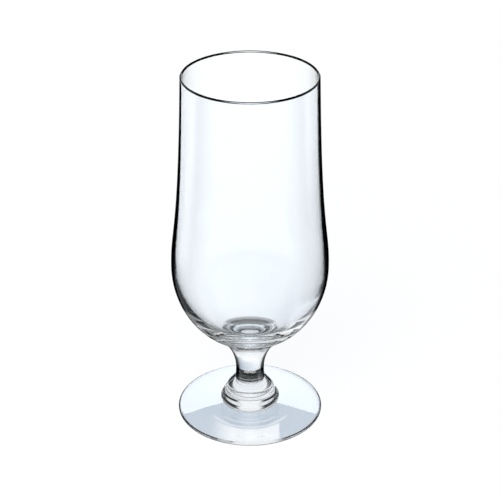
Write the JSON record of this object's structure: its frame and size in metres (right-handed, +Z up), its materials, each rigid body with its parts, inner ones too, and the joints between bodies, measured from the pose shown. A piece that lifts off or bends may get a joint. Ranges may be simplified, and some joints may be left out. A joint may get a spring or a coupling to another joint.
{
  "type": "footed pilsner glass",
  "caption": "Clear footed beer glass: tall bowl with a rounded belly and slightly narrowed rim, short waisted stem, bell-shaped knop and round flat foot.",
  "frame": {"origin": "middle of the foot, on the table that the glass stands on", "axes": "+Z up along the axis that every piece is turned about; the glass is round, so +X and +Y are free"},
  "size_m": [0.0764, 0.0764, 0.18],
  "materials": {
    "clear_glass": "fire-polished, clear"
  },
  "bodies": {
    "root": {"bowl": "clear_glass", "stem": "clear_glass", "knop": "clear_glass", "foot": "clear_glass"}
  },
  "joints": []
}
